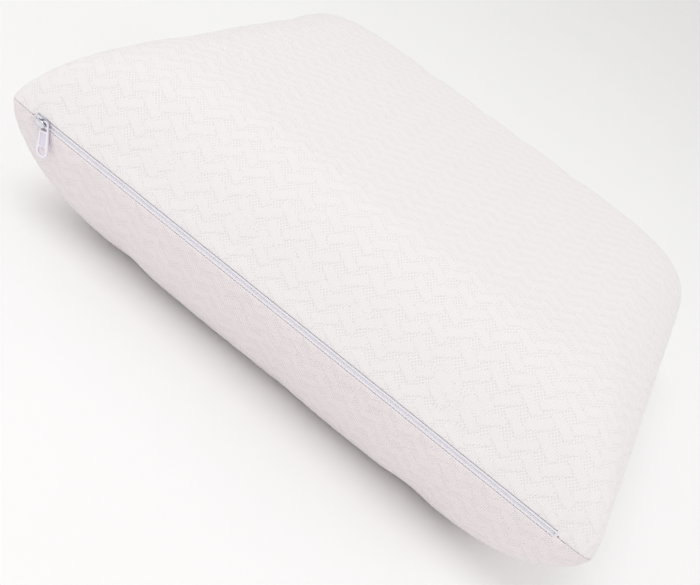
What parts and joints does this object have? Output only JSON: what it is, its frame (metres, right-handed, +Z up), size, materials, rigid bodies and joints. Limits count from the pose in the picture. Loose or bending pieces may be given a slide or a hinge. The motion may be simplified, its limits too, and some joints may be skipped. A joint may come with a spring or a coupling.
{
  "type": "bed pillow",
  "caption": "Rounded oblong memory foam bed pillow in a jersey liner and a zip-off knitted jacquard cover, with a coil zip and its slider along one long edge.",
  "frame": {"origin": "middle of the flat patch that the pillow rests on", "axes": "+X along the zip from its closed end, +Y from the zip side to the far side, +Z up through the crown"},
  "size_m": [0.5, 0.4332, 0.163],
  "materials": {
    "jacquard": "white double-knit jacquard with raised ribbed bars in a herringbone over a fine honeycomb ground",
    "jersey": "smooth white jersey",
    "foam": "cream moulded memory foam with a fine closed skin",
    "tape": "white woven tape",
    "thread": "white polyester thread",
    "coil": "white coiled monofilament",
    "chrome": "bright polished",
    "enamel": "white enamel with a faint lavender cast"
  },
  "bodies": {
    "pillow": {"foam_core": "foam", "liner_top": "jersey", "liner_bottom": "jersey", "cover_top_panel": "jacquard", "cover_bottom_panel": "jacquard", "seam_allowance": "jacquard", "overlock_thread": "thread", "zip_tape_upper": "tape", "zip_tape_lower": "tape", "zip_coil_upper": "coil", "zip_coil_lower": "coil", "coil_cord_upper": "thread", "coil_cord_lower": "thread", "coil_stitching_upper": "thread", "coil_stitching_lower": "thread", "bar_tack_closed_end": "thread", "bar_tack_open_end": "thread"},
    "slider": {"slider_body": "chrome", "slider_bridge": "chrome", "lock_spring": "chrome"},
    "pull": {"pull_tab": "enamel"}
  },
  "joints": [
    {"name": "slider_slide", "type": "slide", "parent": "pillow", "child": "slider", "axis": [1, 0, 0], "range_m": [0, 0.432]},
    {"name": "pull_swing", "type": "hinge", "parent": "slider", "child": "pull", "pos_m": [-0.21375, -0.216, 0.092], "axis": [0, -1, 0], "range_deg": [-44, 196]}
  ]
}
